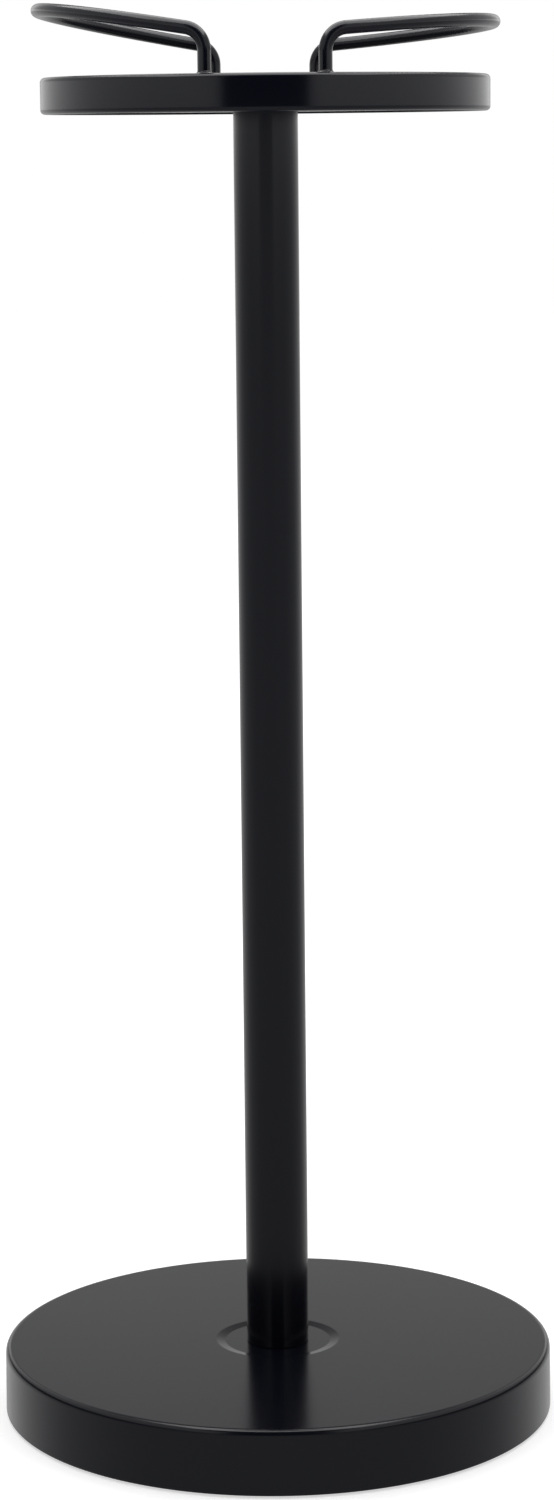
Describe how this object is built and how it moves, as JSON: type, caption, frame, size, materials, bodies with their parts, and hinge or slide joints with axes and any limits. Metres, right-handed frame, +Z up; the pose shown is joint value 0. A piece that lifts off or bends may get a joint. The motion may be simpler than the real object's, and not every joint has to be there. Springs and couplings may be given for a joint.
{
  "type": "mug tree",
  "caption": "Black steel mug tree: weighted round base, one slim tube and a small round tray with a wire loop reaching out on each side.",
  "frame": {"origin": "on the tube's axis, at the surface that the stand rests on", "axes": "+Z up along the tube, -Y towards the front, the loops reach out along -X and +X"},
  "size_m": [0.1444, 0.1444, 0.3654],
  "materials": {
    "powder_coat": "satin black powder coat on steel",
    "pad": "matt black foam rubber",
    "cast_iron": "raw casting",
    "zinc_plate": "bright zinc plate",
    "black_oxide": "black oxide",
    "bare_steel": "mill finish sheet"
  },
  "bodies": {
    "root": {"base_pad": "pad", "base_cover": "powder_coat", "base_weight": "cast_iron", "base_washer": "zinc_plate", "base_spring_washer": "zinc_plate", "base_bolt": "zinc_plate", "post": "powder_coat", "post_foot_insert": "zinc_plate", "post_top_insert": "zinc_plate", "tray_plate": "powder_coat", "tray_washer": "zinc_plate", "tray_bolt": "zinc_plate", "tray_standoffs": "zinc_plate", "tray_screws": "black_oxide", "loop_plate": "bare_steel", "tray_cover": "powder_coat", "loop_left": "powder_coat", "loop_right": "powder_coat"}
  },
  "joints": []
}
